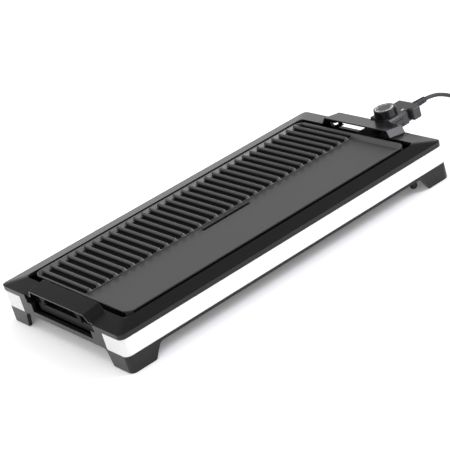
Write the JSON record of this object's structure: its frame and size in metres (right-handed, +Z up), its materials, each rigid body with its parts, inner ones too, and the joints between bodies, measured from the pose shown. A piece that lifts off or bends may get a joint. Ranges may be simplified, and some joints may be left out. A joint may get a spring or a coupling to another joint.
{
  "type": "electric table grill",
  "caption": "Long low electric table grill: lift-off plate, half ribbed and half flat, in a black frame with a light trim band, drip tray, end handles and a plug-in thermostat probe.",
  "frame": {"origin": "on the table under the middle of the grill with its plugged-in probe and strain relief", "axes": "+X runs along the grill from the drip tray's end to the probe's end, +Y from the flat half of the plate to the ribbed half, +Z up"},
  "size_m": [0.8673, 0.351, 0.0852],
  "materials": {
    "frame_black": "fine satin moulding, heat-resistant",
    "trim_white": "smooth light trim",
    "zinc_sheet": "plated sheet steel",
    "pad_rubber": "heat-proof silicone",
    "foot_rubber": "soft rubber",
    "screw_steel": "plated",
    "plate_coat": "cast, dark satin non-stick coat",
    "element_steel": "heat-darkened sheath",
    "ceramic": "matte ceramic",
    "pin_chrome": "plated contact",
    "handle_black": "satin heat-resistant moulding",
    "tray_enamel": "dark coated sheet",
    "probe_inner": "matte moulding",
    "brass": "spring contact",
    "rod_steel": "polished",
    "probe_grey": "fine satin moulding",
    "lamp_glass": "small neon lamp",
    "lens_clear": "frosted lens",
    "wire_coat": "insulated strand",
    "cord_rubber": "round black cord",
    "knob_gloss": "polished",
    "dial_print": "printed scale ring",
    "cap_grey": "satin disc",
    "tie_black": "soft strap",
    "plug_black": "moulded plug"
  },
  "bodies": {
    "base": {"rim_frame": "frame_black", "lower_frame": "frame_black", "front_trim_band": "trim_white", "rear_trim_band": "trim_white", "heat_shield": "zinc_sheet", "front_tray_rail": "zinc_sheet", "rear_tray_rail": "zinc_sheet", "rest_pads": "pad_rubber", "foot_pads": "foot_rubber", "frame_screws": "screw_steel", "shield_screws": "screw_steel", "rail_screws": "screw_steel"},
    "plate": {"cooking_plate": "plate_coat", "heating_element": "element_steel", "terminal_insulators": "ceramic", "terminal_pins": "pin_chrome", "sensor_sleeve": "element_steel", "socket_shroud": "zinc_sheet", "shroud_screws": "screw_steel", "tray_end_handle": "handle_black", "socket_end_handle": "handle_black", "handle_brackets": "zinc_sheet", "bracket_screws": "screw_steel"},
    "tray": {"drip_tray": "tray_enamel"},
    "probe": {"contact_block": "probe_inner", "contact_clips": "brass", "earth_spring": "brass", "sensor_rod": "rod_steel", "probe_lower_shell": "probe_grey", "probe_upper_shell": "probe_grey", "side_grip": "probe_grey", "thermostat_switch": "ceramic", "pilot_lamp": "lamp_glass", "lamp_lens": "lens_clear", "inner_wires": "wire_coat", "cord_clamp": "probe_inner", "probe_screws": "screw_steel", "strain_relief": "cord_rubber", "cord_lead": "cord_rubber", "cord_coil": "cord_rubber", "cord_tail": "cord_rubber", "cord_tie": "tie_black", "plug_body": "plug_black", "plug_pins": "pin_chrome"},
    "knob": {"knob": "knob_gloss", "dial_ring": "dial_print", "knob_cap": "cap_grey", "knob_spindle": "rod_steel"}
  },
  "joints": [
    {"name": "plate_lift", "type": "slide", "parent": "base", "child": "plate", "axis": [0, 0, 1], "range_m": [0, 0.08]},
    {"name": "probe_unplug", "type": "slide", "parent": "plate", "child": "probe", "axis": [1, 0, 0], "range_m": [0, 0.115]},
    {"name": "knob_turn", "type": "hinge", "parent": "probe", "child": "knob", "pos_m": [0.26839, -0.023, 0.08], "axis": [0, 0, -1], "range_deg": [0, 270]},
    {"name": "tray_slide", "type": "slide", "parent": "base", "child": "tray", "axis": [-1, 0, 0], "range_m": [0, 0.36]}
  ]
}
